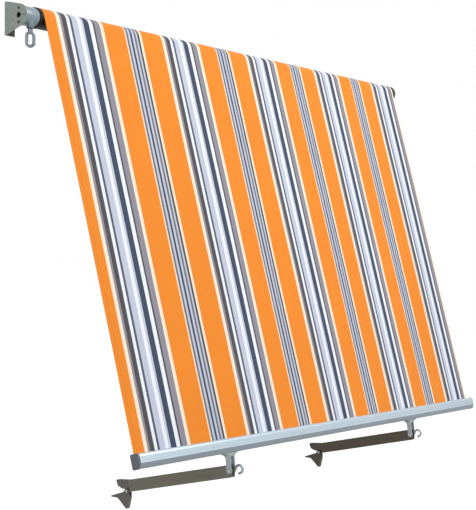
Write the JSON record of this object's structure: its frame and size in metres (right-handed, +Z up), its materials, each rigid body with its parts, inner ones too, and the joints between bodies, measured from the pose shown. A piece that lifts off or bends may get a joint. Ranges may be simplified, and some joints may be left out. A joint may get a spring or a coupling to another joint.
{
  "type": "drop arm awning",
  "caption": "Drop awning: striped cloth on a geared roller between wall brackets, with a front bar and two hinged arms that clamp to a railing.",
  "frame": {"origin": "middle of the left wall bracket's rear face, on the wall plane", "axes": "+X along the roller from the gear side to the idle side, +Y into the wall, +Z up"},
  "size_m": [2.5145, 0.5406, 1.6887],
  "materials": {
    "bracket_paint": "satin greenish grey paint",
    "drum_paint": "satin pale blue grey",
    "zinc": "cast zinc, satin",
    "steel": "zinc plated steel",
    "galvanised": "galvanised steel",
    "brass": "machined",
    "black_plastic": "moulded",
    "white_plastic": "extruded",
    "grey_plastic": "moulded",
    "bar_aluminium": "satin anodised, pale blue grey",
    "arm_bronze": "dark bronze paint",
    "clamp_casting": "dark grey brown paint",
    "striped_cloth": "woven stripes in orange, cream, white, greys and navy"
  },
  "bodies": {
    "wall_frame": {"wall_bracket_left": "bracket_paint", "wall_bracket_right": "bracket_paint", "gear_cover": "drum_paint", "gear_housing": "drum_paint", "gear_screw_lower": "steel", "gear_screw_upper": "steel", "idle_bush": "black_plastic", "fabric_sheet": "striped_cloth"},
    "roller": {"roller_tube": "galvanised", "roller_plug_left": "black_plastic", "roller_plug_right": "black_plastic", "idle_pin": "steel", "roller_keder": "white_plastic", "cloth_turns": "striped_cloth", "worm_wheel": "brass", "drive_shaft": "steel"},
    "crank": {"worm": "steel", "worm_collar": "grey_plastic", "crank_eye": "zinc", "eye_pin": "steel"},
    "bar": {"front_bar": "bar_aluminium", "hem_rod": "white_plastic", "bar_cap_left": "grey_plastic", "bar_cap_right": "grey_plastic", "connector_left": "zinc", "connector_right": "zinc", "arm_pin_left": "steel", "arm_pin_right": "steel"},
    "arm_left": {"arm_left": "arm_bronze", "upper_jaw_left": "clamp_casting", "clamp_bolt_left": "steel", "clamp_rivet_left_1": "steel", "clamp_rivet_left_2": "steel"},
    "jaw_left": {"lower_jaw_left": "clamp_casting"},
    "nut_left": {"wing_nut_left": "galvanised"},
    "arm_right": {"arm_right": "arm_bronze", "upper_jaw_right": "clamp_casting", "clamp_bolt_right": "steel", "clamp_rivet_right_1": "steel", "clamp_rivet_right_2": "steel"},
    "jaw_right": {"lower_jaw_right": "clamp_casting"},
    "nut_right": {"wing_nut_right": "galvanised"}
  },
  "joints": [
    {"name": "roller_spin", "type": "hinge", "parent": "wall_frame", "child": "roller", "pos_m": [0, -0.062, 0.0065], "axis": [-1, 0, 0], "range_deg": [0, 2000]},
    {"name": "crank_turn", "type": "hinge", "parent": "wall_frame", "child": "crank", "pos_m": [0.0113, -0.08, 0.0065], "axis": [0, 0, -1], "range_deg": [0, 32000]},
    {"name": "bar_lift", "type": "slide", "parent": "wall_frame", "child": "bar", "axis": [0, 0.2538, 0.9673], "range_m": [0, 1.2641], "deforming": ["fabric_sheet"]},
    {"name": "arm_swing_left", "type": "hinge", "parent": "bar", "child": "arm_left", "pos_m": [0.5546, -0.48575, -1.47238], "axis": [1, 0, 0], "range_deg": [-79, 45]},
    {"name": "jaw_open_left", "type": "hinge", "parent": "arm_left", "child": "jaw_left", "pos_m": [0.5546, -0.05403, -1.5731], "axis": [-1, 0, 0], "range_deg": [0, 24]},
    {"name": "wing_nut_turn_left", "type": "hinge", "parent": "arm_left", "child": "nut_left", "pos_m": [0.5546, -0.05403, -1.5731], "axis": [1, 0, 0], "range_deg": [0, 1080]},
    {"name": "arm_swing_right", "type": "hinge", "parent": "bar", "child": "arm_right", "pos_m": [1.8756, -0.48575, -1.47238], "axis": [1, 0, 0], "range_deg": [-79, 45]},
    {"name": "jaw_open_right", "type": "hinge", "parent": "arm_right", "child": "jaw_right", "pos_m": [1.8756, -0.05403, -1.5731], "axis": [-1, 0, 0], "range_deg": [0, 24]},
    {"name": "wing_nut_turn_right", "type": "hinge", "parent": "arm_right", "child": "nut_right", "pos_m": [1.8756, -0.05403, -1.5731], "axis": [1, 0, 0], "range_deg": [0, 1080]}
  ],
  "couplings": [
    {"joint": "crank_turn", "follows": "roller_spin", "ratio": 16},
    {"joint": "bar_lift", "follows": "roller_spin", "m_per_rad": 0.0362}
  ]
}
